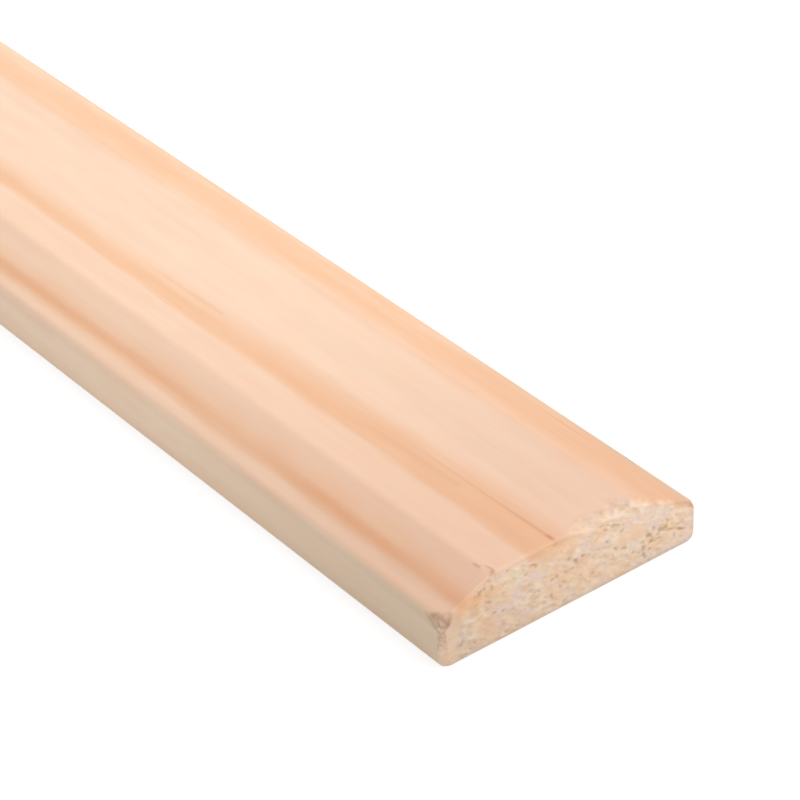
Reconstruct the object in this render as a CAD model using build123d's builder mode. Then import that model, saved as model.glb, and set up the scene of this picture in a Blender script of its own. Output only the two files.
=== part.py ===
from build123d import *
from math import radians, tan
import os

# Driving dimensions, in millimetres and degrees
strip_length = 2400.0
strip_width = 34.0
strip_thickness = 9.0
face_width = 19.0
face_offset = 0.9
bevel_angle = 25.0
back_corner_radius = 1.1
shoulder_radius = 1.6
face_arris_radius = 2.0
end_easing = 0.4
chip_radius = 7.0
chip_depth = 1.4

# The splinter left mostly sideways, a little towards the end and the top.
chip_direction = Vector(0.45, -0.85, 0.28).normalized()

# The planer was set a little to the left, so the left bevel is the narrower one
# and the left edge stands higher. Both bevels come from cutters at one angle.
half_length = strip_length / 2
half_width = strip_width / 2
face_left = -face_width / 2 - face_offset
face_right = face_width / 2 - face_offset
bevel_slope = tan(radians(bevel_angle))
left_shoulder_height = strip_thickness - (half_width + face_left) * bevel_slope
right_shoulder_height = strip_thickness - (half_width - face_right) * bevel_slope
left_shoulder_end = Vector(half_length, -half_width, left_shoulder_height)

# One moulded piece of solid timber. The length runs along X, with the near end
# at +X. The back lies on Z = 0, and the origin is under the middle of the strip.
with BuildPart() as cover_strip:
    # Flat back, two low upright edges, two shallow bevels and a flat face
    with BuildSketch(Plane.YZ) as section:
        with BuildLine() as outline:
            Polyline(
                (-half_width, 0),
                (half_width, 0),
                (half_width, right_shoulder_height),
                (face_right, strip_thickness),
                (face_left, strip_thickness),
                (-half_width, left_shoulder_height),
                close=True,
            )
        make_face()
        # Each pair of corners has a radius of its own.
        corners = section.vertices()
        back_corners = corners.group_by(Axis.Y)[0]
        shoulders = corners.filter_by(lambda corner: 0 < corner.Y < strip_thickness)
        face_arrises = corners.group_by(Axis.Y)[-1]
        fillet(back_corners, radius=back_corner_radius)
        fillet(shoulders, radius=shoulder_radius)
        fillet(face_arrises, radius=face_arris_radius)
    extrude(amount=half_length, both=True)

    # Both ends are sawn square, and handling has worn their sharp edges.
    sawn_ends = cover_strip.faces().filter_by(Axis.X)
    fillet(sawn_ends.edges(), radius=end_easing)

    # The saw tore a scoop out of the left shoulder where it meets the near end.
    with Locations(left_shoulder_end + chip_direction * (chip_radius - chip_depth)):
        Sphere(radius=chip_radius, mode=Mode.SUBTRACT)

cover_strip.part.label = "cover_strip"

os.makedirs("parts", exist_ok=True)
export_step(cover_strip.part, "parts/cover_strip.step")
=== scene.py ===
from math import cos, pi, radians, sin, tan

import bpy
import numpy as np
from mathutils import Matrix, Vector, noise


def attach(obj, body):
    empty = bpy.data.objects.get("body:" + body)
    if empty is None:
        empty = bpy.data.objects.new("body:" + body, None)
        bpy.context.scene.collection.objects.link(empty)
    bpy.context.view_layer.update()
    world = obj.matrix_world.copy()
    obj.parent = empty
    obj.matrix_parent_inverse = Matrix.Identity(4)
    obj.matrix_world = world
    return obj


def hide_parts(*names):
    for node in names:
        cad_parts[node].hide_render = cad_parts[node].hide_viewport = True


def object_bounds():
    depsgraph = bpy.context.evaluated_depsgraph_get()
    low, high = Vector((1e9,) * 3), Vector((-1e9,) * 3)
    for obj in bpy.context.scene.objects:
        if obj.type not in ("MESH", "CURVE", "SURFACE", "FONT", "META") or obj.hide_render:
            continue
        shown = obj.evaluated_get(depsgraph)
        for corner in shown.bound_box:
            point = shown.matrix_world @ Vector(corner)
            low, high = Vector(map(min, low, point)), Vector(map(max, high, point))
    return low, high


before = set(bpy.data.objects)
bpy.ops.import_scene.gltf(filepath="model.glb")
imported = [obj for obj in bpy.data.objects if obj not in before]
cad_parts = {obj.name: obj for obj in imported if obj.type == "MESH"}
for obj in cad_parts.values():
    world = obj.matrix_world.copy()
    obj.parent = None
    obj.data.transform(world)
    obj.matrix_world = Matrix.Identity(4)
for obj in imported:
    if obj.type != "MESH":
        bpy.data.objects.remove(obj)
cad_low, cad_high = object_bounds()

MM = 0.001
HALF_LENGTH = (cad_high.x - cad_low.x) / 2
HALF_WIDTH = (cad_high.y - cad_low.y) / 2


def linear(red, green, blue):
    """A colour written as on a screen, from 0 to 255, in the values that shaders take."""
    parts = [channel / 255 for channel in (red, green, blue)]
    return tuple(p / 12.92 if p <= 0.04045 else ((p + 0.055) / 1.055) ** 2.4 for p in parts) + (1.0,)


# The section, as the CAD strip has it
FACE_WIDTH = 19.0 * MM
FACE_OFFSET = 0.9 * MM
BEVEL_ANGLE = radians(25)
BACK_CORNER_RADIUS = 1.1 * MM
SHOULDER_RADIUS = 1.6 * MM
FACE_ARRIS_RADIUS = 2.0 * MM

# The outline's points. A bend of one radian counts as BEND_LENGTH of path when they are spread.
ARC_STEPS = 24
BEND_LENGTH = 0.6 * MM
COLUMNS = 200
ROWS = 46
AROUND = 2 * (COLUMNS + ROWS)

# The rings of points: their distances from an end, and the quarter turns over its eased edge
RING_STEP = 0.2 * MM
FINE_LENGTH = 5.0 * MM
RING_GROWTH = 1.22
LONGEST_STEP = 60 * MM
EASING = 0.12 * MM
EASING_TURNS = (0.2, 0.4, 0.6, 0.8)

# The map for baking: the two ends in the lowest band, and the long sides in FOLDS lengths above it
FOLDS = 3
MAP_EDGE = 0.004
MAP_GAP = 0.012
END_BAND = 0.095
END_WIDTH = 0.36

# Layers of noise for the shape: size along the saw's strokes, size across them, strength, seed
SAW_ANGLE = radians(-26)
ROUGHNESS = ((1.0 * MM, 0.5 * MM, 1.0, 0.0), (0.45 * MM, 0.25 * MM, 0.5, 10.0))
PITS = ((0.7 * MM, 0.38 * MM, 1.0, 30.0), (3.4 * MM, 1.7 * MM, 0.5, 20.0))
RAGGED_BREAK = ((2.4 * MM, 2.4 * MM, 1.0, 50.0), (1.1 * MM, 1.1 * MM, 0.5, 40.0))
RAGGED_BLEND = ((2.0 * MM, 1.0 * MM, 0.7 * MM, 60.0), (0.7 * MM, 0.35 * MM, 0.3 * MM, 70.0))
ROUGH_BREAK = ((0.6 * MM, 0.5 * MM, 1.5, 80.0),)
WORN_BREAK = ((0.8 * MM, 0.6 * MM, 0.35, 90.0),)
RAGGED_CORNER = ((1.2 * MM, 0.5 * MM, 0.2, 5.0),)
RAGGED_TEAR = ((0.9 * MM, 0.5 * MM, 1.0, 9.0),)

# Rough sawing of the ends. The rim stays calm, and it looks only a little sawn.
RELIEF = 0.06 * MM
PIT_RANGE = (0.25, 0.85)
PIT_DEPTH = 0.12 * MM
CALM_RIM = 0.5 * MM
RIM_SAWN = 0.15
BLEND_DEPTH = 1.2 * MM

# How far back from each end the top edge is broken away, as (y, length) in millimetres
NEAR_BREAK = ((-9.0, 0.4), (-1.0, 0.4), (2.0, 1.0), (5.0, 1.7), (9.0, 1.4), (12.0, 0.9), (15.5, 0.3))
FAR_BREAK = ((-14.0, 0.3), (-10.0, 0.9), (-4.0, 1.2), (0.0, 0.4), (15.0, 0.3))
# Each half of the strip: 1 at the near end and -1 at the far end, seed, break
HALVES = ((1, 3.7, NEAR_BREAK), (-1, 61.3, FAR_BREAK))
# The break fades out between these depths below the top edge, noise changes its length by up to this share,
# and it goes down by this much of its length.
BREAK_FADE = (0.3 * MM, 1.0 * MM)
BREAK_SWING = 0.7
BREAK_SLOPE = 0.75
# Its roughness, the strength of its pits, the lengths between which it starts to look broken, the quarter
# turns between which that look fades again, and what is left of it on the planed side behind the edge
BREAK_ROUGH = 0.07 * MM
BREAK_PITS = 0.5
BROKEN_FROM = (0.4 * MM, 0.9 * MM)
BREAK_WORN = (1.1, 0.6)
BREAK_TAIL = 0.4
BREAK_TAIL_LENGTH = 0.5 * MM

# The worn upright corner at the near left: how far it goes back from the end and in from the side, how both
# change with height, and the least that they are
WORN_BACK = 0.5 * MM
WORN_BACK_RISE = -0.05
WORN_IN = 1.6 * MM
WORN_IN_RISE = -0.12
LEAST_WORN = 0.1 * MM
# How torn it looks low down, and how much more it does above, which is painted shade under the splinter; the
# heights between which that changes, and the share of wear over which the torn look eases in
WORN_TORN = 0.42
SHADE_UNDER_SPLINTER = 0.5
SHADE_UNDER_SPLINTER_HEIGHTS = (1.8 * MM, 3.8 * MM)
WORN_RIM = 0.12
# The saw's pits come back between these distances from the side. Nothing looks sawn from this share of wear
# on, and beside that the end looks sawn by this share.
PITTED_FROM = (1.8 * MM, 3.0 * MM)
LEAST_WEAR = 0.02
WORN_SAWN = 0.5

# The splinter torn out where that corner meets the shoulder. Its lower edge falls to a point at the corner,
# and it gets narrower away from the end. TORN_INTO is the way in, and noise changes depth and edges.
TORN_LOW = 4.5 * MM
TORN_LOW_SLOPE = 0.5
TORN_POINT = 0.3 * MM
TORN_WIDTH = 1.8 * MM
TORN_WIDTH_SLOPE = 0.6
TORN_DEPTH = 0.45 * MM
TORN_INTO = (-0.6, 0.65, -0.25)
TORN_SWING = 0.3
RAGGED_LOW = 0.35 * MM
RAGGED_SIDE = 0.3 * MM
# Where the dent and the painted shadow along its lower edge ease in or out: above that edge, and in its
# width
DENT_LOW = (0.0, 0.8 * MM)
DENT_SIDE = (0.0, 1.3 * MM)
SHADOW_BAND_LOW = (-0.3 * MM, 0.4 * MM)
SHADOW_BAND_HIGH = (2.0 * MM, 0.7 * MM)
SHADOW_BAND_SIDE = (-0.2 * MM, 0.6 * MM)
# Torn wood with painted shade in the dent, and painted shadow in the band along its lower edge
DENT_TORN_AND_SHADE = 0.6
BAND_TORN_AND_SHADE = 0.9
DENT_UNSAWN = 0.8

# A nick in the left arris of the face: back from the end, where its centre lies just outside, y, z, radius
NICK = (-0.05 * MM, -10.3 * MM, 9.2 * MM, 0.55 * MM)
NICK_TORN = 0.5

# The growth rings, as circles about a pith that lies outside the strip and wanders along it in a wave
PITH_Y = 34.0 * MM
PITH_Z = 40.0 * MM
WAVE_START = 1160 * MM
WANDER_LENGTH = 1300 * MM
WANDER = 1.3 * MM
SWELL_LENGTH = 250 * MM
RINGS = (
    # outer edge, softness of that edge, depths where it starts to fade and is gone, swell, strength, resin
    (59.4 * MM, 0.5 * MM, 0.8 * MM, 4.4 * MM, 0.2 * MM, 0.66, 0.34),
    (50.65 * MM, 0.4 * MM, 1.8 * MM, 4.4 * MM, 1.1 * MM, 0.81, 0.12),
    (40.1 * MM, 0.8 * MM, 0.95 * MM, 2.0 * MM, 0.0, 0.95, 0.0),
)
# Depths below a ring's outer edge where its resin starts, is whole and is gone
RESIN_DEPTHS = (0.1 * MM, 1.0 * MM, 2.2 * MM)
# Radii between which the wood turns warm, and between which it takes the paler painted cast of the left side
WARM_RADII = (49 * MM, 52 * MM)
LEFT_SIDE_LIGHT_RADII = (60.6 * MM, 61.6 * MM)

# Single marks in the moulded side near the near end: from (back, y) to (back, y), half width, strength
RESIN_LINES = (
    (74 * MM, -3.5 * MM, 57 * MM, -3.0 * MM, 0.55 * MM, 0.15),
    (36 * MM, -3.9 * MM, 14 * MM, -3.5 * MM, 0.90 * MM, 0.16),
    (30 * MM, -2.7 * MM, 8.0 * MM, -2.2 * MM, 0.34 * MM, 0.16),
    (16 * MM, -2.4 * MM, 0.8 * MM, -2.0 * MM, 0.32 * MM, 0.28),
    (2.0 * MM, -2.1 * MM, 0.6 * MM, -2.0 * MM, 0.42 * MM, 0.60),
    (3.0 * MM, -10.6 * MM, 1.8 * MM, -10.5 * MM, 0.34 * MM, 0.40),
    (1.8 * MM, -10.0 * MM, 0.4 * MM, -9.8 * MM, 0.32 * MM, 0.45),
)
BRUISE = (17 * MM, 16.4 * MM, 9 * MM, 16.4 * MM, 0.40 * MM, 0.5)
MOULDED_HEIGHTS = (2.0 * MM, 4.0 * MM)
TIP_RISE = 1.6
TIP_END = 0.8 * MM

# Grains for the colours: size of the features along x, y and z, shift, detail, and in one case roughness
WAVER = ((60 * MM, 6 * MM, 6 * MM), 0.0, 3.0)
WAVER_REACH = 0.9 * MM
RIPPLE = ((9 * MM, 1.6 * MM, 1.6 * MM), 13.0, 2.0)
RIPPLE_REACH = 0.8 * MM
RESIN_PATCHES = ((26 * MM, 4 * MM, 4 * MM), 71.0, 1.0)
STREAKS = ((22 * MM, 0.5 * MM, 0.5 * MM), 31.0, 1.0)
FIBRES = ((14 * MM, 0.22 * MM, 0.22 * MM), 5.0, 3.0)
BROAD = ((40 * MM, 2.2 * MM, 2.2 * MM), 9.0, 3.0)
BLUSHES = ((9 * MM, 1.8 * MM, 1.8 * MM), 51.0, 2.0)
SPECK_HUES = ((2.0 * MM, 2.0 * MM, 2.0 * MM), 41.0, 1.0)
FINE = ((0.35 * MM, 0.7 * MM, 0.35 * MM), 8.0, 2.5, 0.6)
MOTTLE = ((0.7 * MM, 1.3 * MM, 0.7 * MM), 3.0, 1.5)
PEACH_TUFTS = ((2.2 * MM, 3.2 * MM, 2.2 * MM), 29.0, 1.0)
LILAC_TUFTS = ((1.7 * MM, 2.6 * MM, 1.7 * MM), 17.0, 2.0)
YELLOW_TUFTS = ((0.9 * MM, 1.3 * MM, 0.9 * MM), 23.0, 1.0)

# How grains are eased into shares and shades: from, to, and the results there where they aren't 0 and 1
RESIN_EASE = (0.4, 0.62, 0.2, 1.0)
STREAK_EASE = (0.66, 0.84, 0.0, 0.3)
FIBRE_EASE = (0.25, 0.75, 0.985, 1.01)
BROAD_EASE = (0.25, 0.75, -0.025, 0.025)
BLUSH_EASE = (0.35, 0.65)
SPECK_HUE_EASE = (0.4, 0.6)
SPECK_EASE = (0.35, 0.6, 0.35, 0.6)
SAWN_EASE = (0.3, 0.7, 0.96, 1.05)
MOTTLE_EASE = (0.34, 0.66)

# Colours of the planed wood
EARLYWOOD = linear(255, 221, 194)
LATEWOOD = linear(248, 198, 158)
RESIN = linear(204, 132, 82)
RING_RESIN = linear(236, 158, 100)
BRUISED = linear(165, 155, 135)
WARM = (0.985, 0.955, 0.935, 1.0)
# Painted light: the paler, cooler cast of the left side, which gets less warm light from above
LEFT_SIDE_LIGHT_CAST = (1.0, 1.05, 1.05, 1.0)
BLUSH = (1.0, 0.97, 0.95, 1.0)

# Colours of the sawn ends, with the tufts that lie over each other: grain, easing, colour
END_PALE = linear(247, 226, 202)
END_DULL = linear(232, 202, 174)
END_LILAC = linear(237, 213, 199)
END_YELLOW = linear(245, 221, 177)
END_PEACH = linear(245, 206, 174)
END_WARM = linear(247, 194, 148)
END_BROWN = linear(168, 116, 84)
END_OLIVE = linear(148, 128, 98)
TUFTS = (
    (PEACH_TUFTS, (0.44, 0.66, 0.0, 0.65), END_PEACH),
    (LILAC_TUFTS, (0.46, 0.68, 0.0, 0.85), END_LILAC),
    (YELLOW_TUFTS, (0.52, 0.72, 0.0, 0.45), END_YELLOW),
)
# Where the ends are warmer: in latewood high up, and towards the outer rings
WARM_HEIGHTS = (6.0 * MM, 8.8 * MM, 0.1, 1.0)
OUTER_RADII = (53 * MM, 58 * MM, 0.0, 0.8)
OUTER_HEIGHTS = (4.5 * MM, 6.5 * MM)
# Where the ends are darker: painted shade below a height, where the floor shades them, darker towards
# the left and its corner, and painted shade along the bottom edge
UNSHADED_HEIGHT = 4.2 * MM
SHADE_PER_HEIGHT = 20.0
DARKER_PER_SIDE = 5.0
CORNER_DARKER = (-15.2 * MM, -13.8 * MM, 0.85, 1.0)
# Painted shade along the bottom edge of the ends, and the heights over which it fades
BOTTOM_EDGE_SHADE = (0.74, 0.88, 1.0, 1.0)
BOTTOM_EDGE_SHADE_HEIGHTS = (0.15 * MM, 0.7 * MM, 0.8, 0.0)

# The long sides turn darker towards the ends: the tint of each side, and where it holds
NEAR_END_TINT = (0.87, 0.82, 0.81, 1.0)
NEAR_END_TINT_LEFT = (0.77, 0.79, 0.77, 1.0)
NEAR_END_TINT_RIGHT = (0.74, 0.80, 0.84, 1.0)
NEAR_END_LENGTH = 65 * MM
NEAR_END_PAST = 10 * MM
LEFT_SIDE = (-16.4 * MM, -16.95 * MM)
RIGHT_SIDE = (14.0 * MM, 16.5 * MM)
# A surface whose normal points along the strip is part of an end, and is spared that darkening the more it
# is sawn.
END_FACING = (0.4, 0.92)
SPARED_EASE = (0.0, 0.8, 0.5, 1.0)
# Painted shade where the broken edge faces up, which the lamp lights more than the end beside it
UP_FACING_SHADE = (0.92, 0.90, 0.91, 1.0)
UP_FACING = (0.3, 0.8)

# The surface
FIBRE_RELIEF = 0.006 * MM
SAWN_RELIEF = 0.065 * MM
BUMP_STRENGTH = 0.6
PLANED_ROUGHNESS = 0.6
SAWN_ROUGHNESS = 0.85
SPECULAR = 0.3

# The light: shares of a sky and a lamp, which together show a level surface about as its colour is written
LAMP_DIRECTION = Vector((0.25, 0.40, 1.0))
LAMP_SHARE = 0.52
LAMP_ANGLE = radians(50)
SKY_SHARE = 0.48

# The floor: the pale grey that lights the strip, and the grey and the glow that the camera sees
FLOOR_SIZE = 60.0
FLOOR_GAP = 0.05 * MM
FLOOR_GREY = (0.97, 0.97, 0.97, 1.0)
SHOWN_GREY = (0.25, 0.25, 0.25, 1.0)
SHOWN_GLOW = 0.85

# The camera stands here from the near left corner of the back.
CAMERA_OFFSET = Vector((201.72, -152.24, 205.34)) * MM
CAMERA_YAW = radians(36.388)
CAMERA_PITCH = radians(34.284)
CAMERA_ROLL = radians(-2.554)
SENSOR_WIDTH = 36.0
LENS = 145.78
CLIP_START = 10 * MM


def smoothstep(low, high, value):
    """value eased from 0 at low to 1 at high. high may be the smaller one."""
    part = np.clip((value - low) / (high - low), 0.0, 1.0)
    return part * part * (3 - 2 * part)


def section_corners():
    """The section's corners as (y, z, radius), anticlockwise seen from the near end, from the back left."""
    face_left = -FACE_WIDTH / 2 - FACE_OFFSET
    face_right = FACE_WIDTH / 2 - FACE_OFFSET
    left_shoulder = cad_high.z - (HALF_WIDTH + face_left) * tan(BEVEL_ANGLE)
    right_shoulder = cad_high.z - (HALF_WIDTH - face_right) * tan(BEVEL_ANGLE)
    return [
        (-HALF_WIDTH, 0.0, BACK_CORNER_RADIUS),
        (HALF_WIDTH, 0.0, BACK_CORNER_RADIUS),
        (HALF_WIDTH, right_shoulder, SHOULDER_RADIUS),
        (face_right, cad_high.z, FACE_ARRIS_RADIUS),
        (face_left, cad_high.z, FACE_ARRIS_RADIUS),
        (-HALF_WIDTH, left_shoulder, SHOULDER_RADIUS),
    ]


def corner_arc(before, corner, after):
    """The rounding of one corner, as an array of (y, z)."""
    place = np.array(corner[:2])
    come = place - np.array(before[:2])
    go = np.array(after[:2]) - place
    come, go = come / np.linalg.norm(come), go / np.linalg.norm(go)
    turn = np.arccos(np.clip(come @ go, -1, 1))
    inward = (go - come) / np.linalg.norm(go - come)
    along = (come + go) / np.linalg.norm(come + go)
    centre = place + inward * corner[2] / cos(turn / 2)
    angles = np.linspace(-turn / 2, turn / 2, 2 * ARC_STEPS + 1)
    return centre + corner[2] * (np.outer(np.sin(angles), along) - np.outer(np.cos(angles), inward))


def spread(points, count):
    """count + 1 points along a path, closer together where it bends."""
    runs = np.diff(points, axis=0)
    lengths = np.linalg.norm(runs, axis=1)
    directions = np.unwrap(np.arctan2(runs[:, 1], runs[:, 0]))
    bends = np.abs(np.diff(directions, prepend=directions[0]))
    reach = np.concatenate([[0], np.cumsum(lengths + BEND_LENGTH * bends)])
    wanted = np.linspace(0, reach[-1], count + 1)
    return np.stack([np.interp(wanted, reach, points[:, axis]) for axis in (0, 1)], axis=1)


def section_outline():
    """The section's points and inward normals, from the middle of the back left corner, anticlockwise."""
    corners = section_corners()
    total = len(corners)
    arcs = [corner_arc(corners[i - 1], corners[i], corners[(i + 1) % total]) for i in range(total)]
    middle = len(arcs[0]) // 2

    def side(first, last, count):
        inner = [arcs[i] for i in range(first + 1, last)]
        path = np.vstack([arcs[first][middle:], *inner, arcs[last % total][: middle + 1]])
        return spread(path, count)[:-1]

    points = np.vstack([
        side(0, 1, COLUMNS),
        side(1, 2, ROWS),
        side(2, 5, COLUMNS),
        side(5, 6, ROWS),
    ])
    tangents = np.roll(points, -1, axis=0) - np.roll(points, 1, axis=0)
    tangents /= np.linalg.norm(tangents, axis=1)[:, None]
    return points, np.stack([-tangents[:, 1], tangents[:, 0]], axis=1)


def end_grid(border):
    """Fills the border of an end with a grid of (y, z) points, COLUMNS + 1 across and ROWS + 1 up."""
    bottom = border[: COLUMNS + 1]
    right = border[COLUMNS: COLUMNS + ROWS + 1]
    top = border[COLUMNS + ROWS: 2 * COLUMNS + ROWS + 1][::-1]
    left = np.vstack([border[2 * COLUMNS + ROWS:], border[:1]])[::-1]
    across = np.linspace(0, 1, COLUMNS + 1)[:, None, None]
    up = np.linspace(0, 1, ROWS + 1)[None, :, None]
    sides = (1 - up) * bottom[:, None] + up * top[:, None]
    sides += (1 - across) * left[None] + across * right[None]
    corners = (1 - across) * (1 - up) * bottom[0] + across * (1 - up) * bottom[-1]
    corners += (1 - across) * up * top[0] + across * up * top[-1]
    return sides - corners


def grid_index(column, row):
    """The place of a column and row in an end's grid."""
    return column * (ROWS + 1) + row


def border_indices():
    """The place in the border of each (column, row) on the rim of an end's grid."""
    places = {}
    for column in range(COLUMNS + 1):
        places[column, 0] = column
        places[column, ROWS] = 2 * COLUMNS + ROWS - column
    for row in range(ROWS + 1):
        places[COLUMNS, row] = COLUMNS + row
        places[0, row] = (AROUND - row) % AROUND
    return places


def layered(points, layers, seed=0.0):
    """The sum of layers of smooth noise at points of two coordinates, drawn out along the saw's strokes."""
    turned = Matrix.Rotation(-SAW_ANGLE, 2)
    spots = [turned @ Vector((first, second)) for first, second in points]
    total = np.zeros(len(points))
    for along, across, strength, shift in layers:
        values = [noise.noise(Vector((u / along, v / across, seed + shift))) for u, v in spots]
        total += strength * np.array(values)
    return total


def below_top(points):
    """How far each (y, z) point of a section lies below its upper outline."""
    upper = section_corners()[:1:-1]
    top = np.interp(points[:, 0], [corner[0] for corner in upper], [corner[1] for corner in upper])
    return top - points[:, 1]


def saw_pits(points, seed):
    """Where the saw has torn small pits, from 0 to 1 at each (y, z) point."""
    return smoothstep(*PIT_RANGE, layered(points, PITS, seed))


def saw_marks(points, to_top, broken, seed):
    """How far each (y, z) point of a sawn end lies inside its plane, and how torn it is from 0 to 1."""
    pits = saw_pits(points, seed)
    to_rim = np.min([to_top, points[:, 1], cad_high.y - np.abs(points[:, 0])], axis=0)
    calm = smoothstep(0.0, CALM_RIM, to_rim)
    depth = calm * (RELIEF * (1.0 + layered(points, ROUGHNESS, seed)) + PIT_DEPTH * pits)
    return np.maximum(depth, 0.0), pits * np.maximum(calm, BREAK_PITS * broken)


def ring_offsets():
    """Distances of the rings of points from an end, up to the middle of the strip."""
    offsets = [0.0]
    step = RING_STEP
    while offsets[-1] < HALF_LENGTH:
        if offsets[-1] > FINE_LENGTH:
            step = min(step * RING_GROWTH, LONGEST_STEP)
        offsets.append(offsets[-1] + step)
    offsets = np.array(offsets[:-1])
    # The last ring comes to the middle, and one ring stands at the fold of the bake map.
    offsets = np.append(offsets[offsets < HALF_LENGTH - LONGEST_STEP / 2], HALF_LENGTH)
    fold = HALF_LENGTH * 2 / FOLDS
    offsets[np.argmin(np.abs(offsets - fold))] = fold
    return offsets


def broken_edge(outline, seed, breaks):
    """How far back and how far down the edge of an end goes at each point of the outline, and how broken
    it is from 0 to 1. Away from the break it is only eased."""
    on_top = 1 - smoothstep(*BREAK_FADE, below_top(outline))
    broken = np.interp(outline[:, 0], *(np.array(breaks) * MM).T)
    ragged = layered(outline, RAGGED_BREAK, seed)
    back = EASING + on_top * np.maximum(0.0, broken * (1 + BREAK_SWING * ragged) - EASING)
    down = EASING + BREAK_SLOPE * (back - EASING)
    return back, down, smoothstep(*BROKEN_FROM, back)


def sawn_share(share):
    """How sawn a point of an end looks: as little as the rim where share is 0, and fully where it is 1."""
    return RIM_SAWN + (1 - RIM_SAWN) * share


def sawn_grid(end, edge, down, share, seed):
    """The grid of an end: its points, how torn they are and how sawn."""
    flat = end_grid(edge).reshape(-1, 2)
    above = 2 * COLUMNS + ROWS - np.repeat(np.arange(COLUMNS + 1), ROWS + 1)
    to_break = below_top(flat) - down[above]
    depth, torn_and_shaded = saw_marks(flat, to_break, share[above], seed)
    to_break = to_break + layered(flat, RAGGED_BLEND, seed)
    sawn = sawn_share(smoothstep(0.0, BLEND_DEPTH, to_break + share[above] * BLEND_DEPTH))
    # The rim stays in the plane of the end, and takes its share of the broken edge.
    for (column, row), place in border_indices().items():
        depth[grid_index(column, row)] = 0.0
        sawn[grid_index(column, row)] = sawn_share(share[place])
    return np.column_stack([end * (HALF_LENGTH - depth), flat]), torn_and_shaded, sawn


def edge_rings(end, outline, inward, back, down, share, seed):
    """The rings over the eased or broken edge of an end."""
    rings = []
    for turn in EASING_TURNS:
        angle = turn * pi / 2
        spots = np.column_stack([outline[:, 0], back * (1 - cos(angle))])
        rough = BREAK_ROUGH * share * np.maximum(0.0, 1 + layered(spots, ROUGH_BREAK, seed))
        x = HALF_LENGTH - back * (1 - cos(angle)) - rough * sin(2 * angle)
        yz = outline + inward * (down * (1 - sin(angle)) + rough * sin(2 * angle))[:, None]
        rough_share = share * smoothstep(*BREAK_WORN, turn + layered(spots, WORN_BREAK, seed))
        torn_and_shaded = BREAK_PITS * saw_pits(yz, seed) * rough_share
        sawn = RIM_SAWN * (1 - turn) + (1 - RIM_SAWN) * rough_share
        rings.append((np.column_stack([end * x, yz]), torn_and_shaded, sawn))
    return rings


def long_rings(end, outline, back, share):
    """The rings along the planed sides, from an end's edge to the middle of the strip."""
    rings = []
    for offset in ring_offsets():
        follow = max(0.0, 1 - offset / FINE_LENGTH) ** 2
        x = HALF_LENGTH - offset - back * follow
        sawn = BREAK_TAIL * share * max(0.0, 1 - offset / BREAK_TAIL_LENGTH)
        rings.append((np.column_stack([end * x, outline]), np.zeros(len(outline)), sawn))
    return rings


def strip_half(end, seed, breaks):
    """The grid of an end and the rings from there to the middle. Each is its points, how torn they are and
    how sawn."""
    outline, inward = section_outline()
    back, down, share = broken_edge(outline, seed, breaks)
    grid = sawn_grid(end, outline + inward * down[:, None], down, share, seed)
    rings = edge_rings(end, outline, inward, back, down, share, seed)
    return grid, rings + long_rings(end, outline, back, share)


def join_halves():
    """All points, how torn they are and how sawn, and for each half (end, first point, rings of indices)."""
    parts, halves = [], []
    for end, seed, breaks in HALVES:
        grid, rings = strip_half(end, seed, breaks)
        if halves:
            rings.pop()
        start = sum(len(part[0]) for part in parts)
        rim = np.zeros(AROUND, int)
        for (column, row), place in border_indices().items():
            rim[place] = start + grid_index(column, row)
        first = start + len(grid[0])
        indices = [rim] + [first + i * AROUND + np.arange(AROUND) for i in range(len(rings))]
        # Both halves share the ring in the middle.
        if halves:
            indices.append(halves[0][2][-1])
        parts.extend([grid, *rings])
        halves.append((end, start, indices))
    points, torn_and_shaded, sawn = (np.concatenate(values) for values in zip(*parts))
    return points, torn_and_shaded, sawn, halves


def from_corner(points):
    """How far points lie back from the near end, in from the left side and above the back."""
    return cad_high.x - points[:, 0], points[:, 1] - cad_low.y, points[:, 2]


def wear_corner(points, torn_and_shaded, sawn):
    """Wears off the upright corner at the near left."""
    back, inside, height = from_corner(points)
    ragged = 1 + layered(np.column_stack([back, height]), RAGGED_CORNER)
    reach = np.maximum(LEAST_WORN, (WORN_BACK + WORN_BACK_RISE * height) * ragged)
    width = np.maximum(LEAST_WORN, (WORN_IN + WORN_IN_RISE * height) * ragged)
    short = np.maximum(0.0, 1 - back / reach - inside / width)
    push = short / (reach ** -2 + width ** -2)
    points[:, 0] -= push / reach
    points[:, 1] += push / width
    # Higher up, the darker torn look is painted shade under the splinter
    rim = WORN_TORN + SHADE_UNDER_SPLINTER * smoothstep(*SHADE_UNDER_SPLINTER_HEIGHTS, height)
    rim = smoothstep(0.0, WORN_RIM, short) * rim
    aside = smoothstep(*PITTED_FROM, inside)
    torn_and_shaded[:] = np.maximum(torn_and_shaded * aside, rim)
    sawn[:] = np.where(short > LEAST_WEAR, 0.0, sawn * (WORN_SAWN + (1 - WORN_SAWN) * aside))


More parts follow.
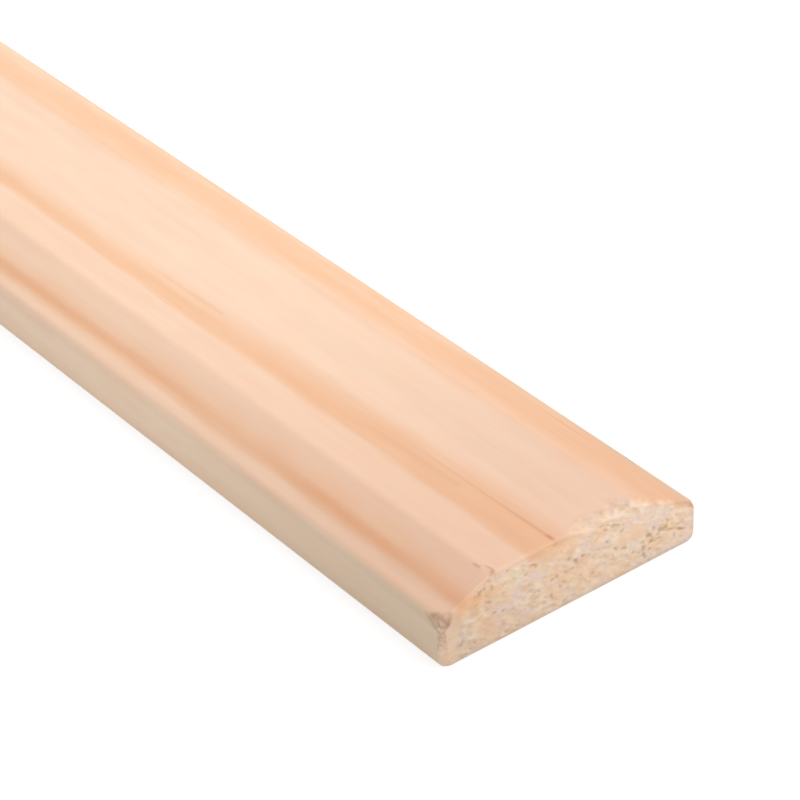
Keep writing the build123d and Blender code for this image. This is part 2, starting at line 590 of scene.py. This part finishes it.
def tear_splinter(points, torn_and_shaded, sawn):
    """Tears the splinter out of the near left corner."""
    back, inside, height = from_corner(points)
    ragged = layered(np.column_stack([inside - back, height]), RAGGED_TEAR)
    rise = TORN_LOW_SLOPE * np.abs(inside - back - TORN_POINT)
    above = height - TORN_LOW - rise + RAGGED_LOW * ragged
    within = TORN_WIDTH - inside - TORN_WIDTH_SLOPE * back + RAGGED_SIDE * ragged
    dent = smoothstep(*DENT_LOW, above) * smoothstep(*DENT_SIDE, within)
    points += TORN_DEPTH * (dent * (1 + TORN_SWING * ragged))[:, None] * np.array(TORN_INTO)
    # Painted shadow along the dent's lower edge, and painted shade in the dent, both as torn specks
    shadow_band = smoothstep(*SHADOW_BAND_LOW, above) * smoothstep(*SHADOW_BAND_HIGH, above)
    shadow_band *= smoothstep(*SHADOW_BAND_SIDE, within)
    torn_and_shaded[:] = np.maximum(torn_and_shaded, np.maximum(DENT_TORN_AND_SHADE * dent, BAND_TORN_AND_SHADE * shadow_band))
    sawn[:] = sawn * (1 - DENT_UNSAWN * dent)


def nick_arris(points, torn_and_shaded):
    """Presses a small round nick into the left arris of the face at the near end."""
    back, y, z, radius = NICK
    centre = np.array([cad_high.x - back, y, z])
    away = points - centre
    distance = np.linalg.norm(away, axis=1)
    hit = distance < radius
    points[hit] = centre + away[hit] * (radius / distance[hit])[:, None]
    torn_and_shaded[hit] = np.maximum(torn_and_shaded[hit], NICK_TORN)


def fill_ends(faces, uvs, halves):
    """Covers the grids of the two ends with faces. On the map they lie side by side."""
    for number, (end, start, _) in enumerate(halves):
        left = MAP_EDGE + number * (END_WIDTH + MAP_GAP)
        for column in range(COLUMNS):
            for row in range(ROWS):
                cells = [(column, row), (column + 1, row), (column + 1, row + 1), (column, row + 1)]
                if end == -1:
                    cells.reverse()
                faces.append([start + grid_index(c, r) for c, r in cells])
                uvs.append([
                    (left + END_WIDTH * c / COLUMNS, MAP_EDGE + (END_BAND - MAP_EDGE) * r / ROWS)
                    for c, r in cells
                ])


def unrolled_outline():
    """The outline's points in order from the middle of the back, and how far round each is, from 0 to 1."""
    outline, _ = section_outline()
    lengths = np.linalg.norm(np.roll(outline, -1, axis=0) - outline, axis=1)
    order = [(COLUMNS // 2 + i) % AROUND for i in range(AROUND)]
    around = np.concatenate([[0], np.cumsum(lengths[order])])
    return order, around / around[-1]


def fill_sides(faces, uvs, halves, points):
    """Joins the rings with faces. On the map the strip is cut into FOLDS lengths, one above the other."""
    near, far = halves[0][2], halves[1][2]
    rings = far[:-1] + near[::-1]
    order, around = unrolled_outline()
    places = np.array([np.median(points[ring][:, 0]) for ring in rings])
    along = (places - places[0]) / (places[-1] - places[0]) * FOLDS
    band = (1 - END_BAND - MAP_GAP - MAP_EDGE) / FOLDS
    for i, (lows, highs) in enumerate(zip(rings[:-1], rings[1:])):
        fold = min(int((along[i] + along[i + 1]) / 2), FOLDS - 1)
        base = END_BAND + MAP_GAP + fold * band
        u0, u1 = (MAP_EDGE + (1 - 2 * MAP_EDGE) * (along[i + k] - fold) for k in (0, 1))
        for k, place in enumerate(order):
            after = order[(k + 1) % AROUND]
            v0, v1 = (base + (band - MAP_GAP) * around[k + m] for m in (0, 1))
            faces.append([lows[place], lows[after], highs[after], highs[place]])
            uvs.append([(u0, v0), (u0, v1), (u1, v1), (u1, v0)])


def build_strip():
    """The whole strip as one closed mesh, with its map for baking."""
    points, torn_and_shaded, sawn, halves = join_halves()
    close = points[:, 0] > cad_high.x - FINE_LENGTH
    near_points, near_torn_and_shaded, near_sawn = points[close], torn_and_shaded[close], sawn[close]
    wear_corner(near_points, near_torn_and_shaded, near_sawn)
    tear_splinter(near_points, near_torn_and_shaded, near_sawn)
    nick_arris(near_points, near_torn_and_shaded)
    points[close], torn_and_shaded[close], sawn[close] = near_points, near_torn_and_shaded, near_sawn
    faces, uvs = [], []
    fill_ends(faces, uvs, halves)
    fill_sides(faces, uvs, halves, points)
    return points, faces, uvs, sawn, torn_and_shaded


class Shader:
    """Short ways to add and join the nodes of one material, or of the world."""

    def __init__(self, owner):
        owner.use_nodes = True
        self.tree = owner.node_tree
        self.tree.nodes.clear()

    def add(self, kind, **settings):
        node = self.tree.nodes.new(kind)
        for name, value in settings.items():
            setattr(node, name, value)
        return node

    def feed(self, socket, value):
        """Links a socket to another one, or sets its value."""
        if isinstance(value, bpy.types.NodeSocket):
            self.tree.links.new(value, socket)
        else:
            socket.default_value = value

    def feed_all(self, sockets, values):
        for socket, value in zip(sockets, values):
            self.feed(socket, value)

    def math(self, operation, *values):
        node = self.add("ShaderNodeMath", operation=operation)
        self.feed_all(node.inputs, values)
        return node.outputs[0]

    def ramp(self, value, low, high, start=0.0, end=1.0):
        """value eased from start at low to end at high."""
        node = self.add("ShaderNodeMapRange", interpolation_type="SMOOTHSTEP")
        names = ("Value", "From Min", "From Max", "To Min", "To Max")
        self.feed_all([node.inputs[name] for name in names], (value, low, high, start, end))
        return node.outputs["Result"]

    def mix(self, share, under, over, blend="MIX"):
        """Two colours mixed or multiplied. The node keeps its colours at sockets 6 and 7."""
        node = self.add("ShaderNodeMix", data_type="RGBA", blend_type=blend)
        self.feed_all([node.inputs[i] for i in (0, 6, 7)], (share, under, over))
        return node.outputs[2]

    def mix_numbers(self, share, under, over):
        """Two numbers mixed. The node keeps them at sockets 2 and 3."""
        node = self.add("ShaderNodeMix", data_type="FLOAT")
        self.feed_all([node.inputs[i] for i in (0, 2, 3)], (share, under, over))
        return node.outputs[0]

    def tint(self, share, colour, tint):
        """A colour multiplied by a tint where the share says so."""
        return self.mix(share, colour, self.mix(1.0, colour, tint, "MULTIPLY"))

    def scale(self, colour, factor):
        node = self.add("ShaderNodeVectorMath", operation="SCALE")
        self.feed(node.inputs[0], colour)
        self.feed(node.inputs["Scale"], factor)
        return node.outputs[0]

    def separate(self, vector):
        node = self.add("ShaderNodeSeparateXYZ")
        self.feed(node.inputs[0], vector)
        return node.outputs

    def attribute(self, name):
        return self.add("ShaderNodeAttribute", attribute_name=name).outputs["Fac"]

    def position(self):
        """x, y and z on the strip, in metres."""
        return self.separate(self.add("ShaderNodeTexCoord").outputs["Object"])

    def turned(self, place, angle):
        """A place with its y and z turned about the strip's length."""
        x, y, z = place
        y_parts = self.math("MULTIPLY", y, cos(angle)), self.math("MULTIPLY", z, -sin(angle))
        z_parts = self.math("MULTIPLY", z, cos(angle)), self.math("MULTIPLY", y, -sin(angle))
        return x, self.math("SUBTRACT", *y_parts), self.math("ADD", *z_parts)

    def grain(self, place, sizes, shift, detail, roughness=0.5):
        """Noise from 0 to 1 whose features have these sizes along x, y and z."""
        scaled = [self.math("DIVIDE", axis, size) for axis, size in zip(place, sizes)]
        scaled[0] = self.math("ADD", scaled[0], shift)
        combined = self.add("ShaderNodeCombineXYZ")
        self.feed_all(combined.inputs, scaled)
        node = self.add("ShaderNodeTexNoise")
        names = ("Vector", "Scale", "Detail", "Roughness")
        self.feed_all([node.inputs[name] for name in names], (combined.outputs[0], 1.0, detail, roughness))
        return node.outputs["Fac"]

    def sway(self, place, grain, reach):
        """A grain as a length, half of its reach to either side of 0."""
        return self.math("MULTIPLY", self.math("SUBTRACT", self.grain(place, *grain), 0.5), reach)

    def wave(self, x, length):
        """A sine wave along the strip."""
        turns = self.math("MULTIPLY", self.math("SUBTRACT", x, WAVE_START), 2 * pi / length)
        return self.math("SINE", turns)


def ring_radius(shader, place):
    """How far a place is from the pith, which wanders a little along the strip."""
    x, y, z = place
    wander = shader.math("MULTIPLY", shader.wave(x, WANDER_LENGTH), WANDER)
    from_pith_y = shader.math("SUBTRACT", shader.math("ADD", PITH_Y, wander), y)
    from_pith_z = shader.math("SUBTRACT", PITH_Z, z)
    squares = [shader.math("MULTIPLY", v, v) for v in (from_pith_y, from_pith_z)]
    radius = shader.math("SQRT", shader.math("ADD", *squares))
    sways = shader.sway(place, WAVER, WAVER_REACH), shader.sway(place, RIPPLE, RIPPLE_REACH)
    return shader.math("ADD", radius, shader.math("ADD", *sways))


def latewood(shader, place, radius):
    """How much latewood and how much resin there is at a place, from 0 to 1. A ring's outer edge is sharp
    and its inner one fades, and the resin lies along the outer edge."""
    wave = shader.wave(place[0], SWELL_LENGTH)
    patches = shader.ramp(shader.grain(place, *RESIN_PATCHES), *RESIN_EASE)
    begins, whole, ends = RESIN_DEPTHS
    late, resin = 0.0, 0.0
    for edge, softness, full, gone, swell, strength, resin_share in RINGS:
        depth = shader.math("SUBTRACT", edge, radius)
        rise = shader.ramp(depth, -softness, softness)
        inner = shader.math("MULTIPLY_ADD", wave, -swell, depth)
        fade = shader.ramp(inner, full, gone, strength, 0.0)
        late = shader.math("MAXIMUM", late, shader.math("MULTIPLY", rise, fade))
        if resin_share:
            core = shader.ramp(depth, begins, whole), shader.ramp(depth, whole, ends, resin_share, 0.0)
            core = shader.math("MULTIPLY", shader.math("MULTIPLY", *core), patches)
            resin = shader.math("MAXIMUM", resin, core)
    return late, resin


def line_mark(shader, place, mark):
    """How much of a thin line shows at a place. It fades towards its sides and its far tip."""
    x, y, _ = place
    from_back, from_y, to_back, to_y, half_width, strength = mark
    start, stop = cad_high.x - from_back, cad_high.x - to_back
    slope = (to_y - from_y) / (stop - start)
    middle = shader.math("MULTIPLY_ADD", x, slope, from_y - slope * start)
    aside = shader.math("ABSOLUTE", shader.math("SUBTRACT", y, middle))
    across = shader.ramp(aside, 0.0, half_width, strength, 0.0)
    tip = (stop - start) / 2
    rise = shader.ramp(x, start, start + TIP_RISE * tip)
    fall = shader.ramp(x, stop, stop + min(tip, TIP_END), 1.0, 0.0)
    return shader.math("MULTIPLY", across, shader.math("MULTIPLY", rise, fall))


def planed_wood(shader, place, radius, late, resin):
    """The colour of the planed sides: rings, resin and single marks, which are on the moulded side only."""
    colour = shader.mix(late, EARLYWOOD, LATEWOOD)
    # Painted light: the left side's paler, cooler cast
    left_light_cast = shader.ramp(radius, *LEFT_SIDE_LIGHT_RADII)
    warm = shader.math("SUBTRACT", shader.ramp(radius, *WARM_RADII), left_light_cast)
    colour = shader.tint(left_light_cast, shader.tint(warm, colour, WARM), LEFT_SIDE_LIGHT_CAST)
    streaks = shader.grain(place, *STREAKS)
    marks = shader.math("MULTIPLY", shader.ramp(streaks, *STREAK_EASE), late)
    colour = shader.mix(resin, colour, RING_RESIN)
    moulded = shader.ramp(place[2], *MOULDED_HEIGHTS)
    for mark in RESIN_LINES:
        line = shader.math("MULTIPLY", line_mark(shader, place, mark), moulded)
        marks = shader.math("MAXIMUM", marks, line)
    colour = shader.mix(marks, colour, RESIN)
    bruise = shader.math("MULTIPLY", line_mark(shader, place, BRUISE), moulded)
    return shader.mix(bruise, colour, BRUISED)


def end_grain(shader, place, across_saw, radius, late):
    """The colour of the rough-sawn ends: pale and dull mottle under coloured tufts, warmer in latewood."""
    _, y, height = place
    mottle = shader.ramp(shader.grain(across_saw, *MOTTLE), *MOTTLE_EASE)
    colour = shader.mix(mottle, END_DULL, END_PALE)
    for grain, ease, tuft in TUFTS:
        colour = shader.mix(shader.ramp(shader.grain(across_saw, *grain), *ease), colour, tuft)
    warmth = shader.math("MULTIPLY", late, shader.ramp(height, *WARM_HEIGHTS))
    outer = shader.ramp(radius, *OUTER_RADII), shader.ramp(height, *OUTER_HEIGHTS)
    warmth = shader.math("MAXIMUM", warmth, shader.math("MULTIPLY", *outer))
    colour = shader.mix(warmth, colour, END_WARM)
    # Painted shade low down, where the floor shades the end, and a darker tone towards the left and its
    # corner
    low = shader.math("MULTIPLY_ADD", height, SHADE_PER_HEIGHT, 1 - SHADE_PER_HEIGHT * UNSHADED_HEIGHT)
    side = shader.math("MULTIPLY_ADD", y, DARKER_PER_SIDE, shader.ramp(y, *CORNER_DARKER))
    colour = shader.scale(colour, shader.math("MULTIPLY", low, side))
    # Painted shade along the bottom edge
    return shader.tint(shader.ramp(height, *BOTTOM_EDGE_SHADE_HEIGHTS), colour, BOTTOM_EDGE_SHADE)


def darken_ends_and_tops(shader, place, sawn, colour):
    """Darkens a colour towards the ends of the long sides, and paints shade where the broken edge faces up.
    """
    x, y, _ = place
    normal = shader.separate(shader.add("ShaderNodeNewGeometry").outputs["Normal"])
    facing = shader.ramp(shader.math("ABSOLUTE", normal["X"]), *END_FACING)
    spared = shader.math("MULTIPLY", facing, shader.ramp(sawn, *SPARED_EASE))
    from_end = shader.math("ABSOLUTE", x)
    towards_end = shader.ramp(from_end, cad_high.x - NEAR_END_LENGTH, cad_high.x + NEAR_END_PAST)
    towards_end = shader.math("MULTIPLY", towards_end, shader.math("SUBTRACT", 1.0, spared))
    tint = shader.mix(shader.ramp(y, *LEFT_SIDE), NEAR_END_TINT, NEAR_END_TINT_LEFT)
    tint = shader.mix(shader.ramp(y, *RIGHT_SIDE), tint, NEAR_END_TINT_RIGHT)
    # Painted shade where the broken edge faces up
    upward = shader.math("MULTIPLY", shader.ramp(normal["Z"], *UP_FACING), sawn)
    return shader.tint(upward, shader.tint(towards_end, colour, tint), UP_FACING_SHADE)


def pine_colour(shader, place, across_saw, sawn, fibres, fine):
    """The colour of the wood, planed or sawn as the mesh says, with specks where it is torn."""
    radius = ring_radius(shader, place)
    late, resin = latewood(shader, place, radius)
    planed = planed_wood(shader, place, radius, late, resin)
    colour = shader.mix(sawn, planed, end_grain(shader, place, across_saw, radius, late))
    # Torn specks, which also paint the shade in and under the splinter's dent
    specks_and_shade = shader.math("MULTIPLY", shader.attribute("torn_and_shaded"), shader.ramp(fine, *SPECK_EASE))
    hue = shader.ramp(shader.grain(place, *SPECK_HUES), *SPECK_HUE_EASE)
    colour = shader.mix(specks_and_shade, colour, shader.mix(hue, END_BROWN, END_OLIVE))
    colour = darken_ends_and_tops(shader, place, sawn, colour)
    colour = shader.tint(shader.ramp(shader.grain(place, *BLUSHES), *BLUSH_EASE), colour, BLUSH)
    broad = shader.ramp(shader.grain(place, *BROAD), *BROAD_EASE)
    planed_shade = shader.math("ADD", shader.ramp(fibres, *FIBRE_EASE), broad)
    return shader.scale(colour, shader.mix_numbers(sawn, planed_shade, shader.ramp(fine, *SAWN_EASE)))


def pine():
    """Planed pine on the long sides, and rough-sawn end grain where the mesh says so."""
    material = bpy.data.materials.new("pine")
    shader = Shader(material)
    place = shader.position()
    across_saw = shader.turned(place, SAW_ANGLE)
    fine = shader.grain(across_saw, *FINE)
    fibres = shader.grain(place, *FIBRES)
    sawn = shader.attribute("sawn")
    fibre_height = shader.math("MULTIPLY", fibres, FIBRE_RELIEF)
    sawn_height = shader.math("MULTIPLY", shader.math("MULTIPLY", fine, sawn), SAWN_RELIEF)
    bump = shader.add("ShaderNodeBump")
    bump.inputs["Strength"].default_value = BUMP_STRENGTH
    bump.inputs["Distance"].default_value = 1.0
    shader.feed(bump.inputs["Height"], shader.math("ADD", fibre_height, sawn_height))

    surface = shader.add("ShaderNodeBsdfPrincipled")
    colour = pine_colour(shader, place, across_saw, sawn, fibres, fine)
    shader.feed(surface.inputs["Base Color"], colour)
    shader.feed(surface.inputs["Normal"], bump.outputs[0])
    roughness = shader.ramp(sawn, 0.0, 1.0, PLANED_ROUGHNESS, SAWN_ROUGHNESS)
    shader.feed(surface.inputs["Roughness"], roughness)
    surface.inputs["Specular IOR Level"].default_value = SPECULAR
    output = shader.add("ShaderNodeOutputMaterial")
    shader.feed(output.inputs["Surface"], surface.outputs[0])
    return material


def timber():
    """The strip as a mesh of its own, in place of the plain CAD solid."""
    points, faces, uvs, sawn, torn_and_shaded = build_strip()
    mesh = bpy.data.meshes.new("cover_strip_timber")
    mesh.from_pydata([tuple(point) for point in points], [], faces)
    mesh.validate()
    layer = mesh.uv_layers.new(name="OFBake")
    layer.data.foreach_set("uv", np.array(uvs, dtype=np.float32).ravel())
    for name, values in (("sawn", sawn), ("torn_and_shaded", torn_and_shaded)):
        attribute = mesh.attributes.new(name, "FLOAT", "POINT")
        attribute.data.foreach_set("value", np.array(values, dtype=np.float32))
    mesh.shade_smooth()
    mesh.materials.append(pine())
    strip = bpy.data.objects.new("cover_strip_timber", mesh)
    bpy.context.scene.collection.objects.link(strip)
    return strip


def background_share(shader):
    """1 for rays that show the background itself, and 0 for rays that light the object."""
    path = shader.add("ShaderNodeLightPath").outputs
    seen = shader.math("MAXIMUM", path["Is Camera Ray"], path["Is Glossy Ray"])
    return shader.math("MAXIMUM", seen, path["Is Transmission Ray"])


def light_or_show(shader, lighting, shown, output):
    """Joins what lights the object and what shows as the background into one output."""
    mixed = shader.add("ShaderNodeMixShader")
    shader.feed_all(mixed.inputs, (background_share(shader), lighting, shown))
    shader.feed(shader.add(output).inputs["Surface"], mixed.outputs[0])


def light_scene():
    """An even white sky, and one soft lamp above the strip, a little towards its right side and near end."""
    world = bpy.data.worlds.new("studio")
    shader = Shader(world)
    skies = []
    for strength in (SKY_SHARE, 1.0):
        sky = shader.add("ShaderNodeBackground")
        sky.inputs["Color"].default_value = (1.0, 1.0, 1.0, 1.0)
        sky.inputs["Strength"].default_value = strength
        skies.append(sky.outputs[0])
    light_or_show(shader, *skies, "ShaderNodeOutputWorld")
    bpy.context.scene.world = world

    lamp = bpy.data.objects.new("lamp", bpy.data.lights.new("lamp", "SUN"))
    lamp.data.energy = pi * LAMP_SHARE / LAMP_DIRECTION.normalized().z
    lamp.data.angle = LAMP_ANGLE
    lamp.rotation_mode = "QUATERNION"
    lamp.rotation_quaternion = LAMP_DIRECTION.to_track_quat("Z", "Y")
    bpy.context.scene.collection.objects.link(lamp)


def floor_material():
    """A floor that lights the strip as pale grey does, and shows as white with the strip's soft shadow."""
    material = bpy.data.materials.new("floor")
    shader = Shader(material)
    lighting, grey = [shader.add("ShaderNodeBsdfDiffuse") for _ in range(2)]
    lighting.inputs["Color"].default_value = FLOOR_GREY
    grey.inputs["Color"].default_value = SHOWN_GREY
    glow = shader.add("ShaderNodeEmission")
    glow.inputs["Strength"].default_value = SHOWN_GLOW
    shown = shader.add("ShaderNodeAddShader")
    shader.feed_all(shown.inputs, (grey.outputs[0], glow.outputs[0]))
    light_or_show(shader, lighting.outputs[0], shown.outputs[0], "ShaderNodeOutputMaterial")
    return material


def lay_floor():
    """A plain white floor just under the strip."""
    half = FLOOR_SIZE / 2
    height = cad_low.z - FLOOR_GAP
    corners = [(x, y, height) for x, y in ((-half, -half), (half, -half), (half, half), (-half, half))]
    mesh = bpy.data.meshes.new("floor")
    mesh.from_pydata(corners, [], [(0, 1, 2, 3)])
    mesh.materials.append(floor_material())
    floor = bpy.data.objects.new("floor", mesh)
    bpy.context.scene.collection.objects.link(floor)


def place_camera():
    """The photograph's camera: it stands off the near left corner and looks along the strip."""
    level = cos(CAMERA_PITCH)
    ahead = Vector((-cos(CAMERA_YAW) * level, sin(CAMERA_YAW) * level, -sin(CAMERA_PITCH)))
    right = Vector((sin(CAMERA_YAW), cos(CAMERA_YAW), 0.0))
    up = right.cross(ahead)
    turned_right = right * cos(CAMERA_ROLL) + up * sin(CAMERA_ROLL)
    turned_up = up * cos(CAMERA_ROLL) - right * sin(CAMERA_ROLL)
    camera = bpy.data.objects.new("camera", bpy.data.cameras.new("camera"))
    camera.data.sensor_width = SENSOR_WIDTH
    camera.data.lens = LENS
    camera.data.clip_start = CLIP_START
    corner = Vector((cad_high.x, cad_low.y, cad_low.z))
    turn = Matrix((turned_right, turned_up, -ahead)).transposed().to_4x4()
    camera.matrix_world = Matrix.Translation(corner + CAMERA_OFFSET) @ turn
    bpy.context.scene.collection.objects.link(camera)
    bpy.context.scene.camera = camera


strip = timber()
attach(strip, "root")
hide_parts("cover_strip")
light_scene()
lay_floor()
place_camera()
bpy.context.scene.view_settings.view_transform = "Standard"
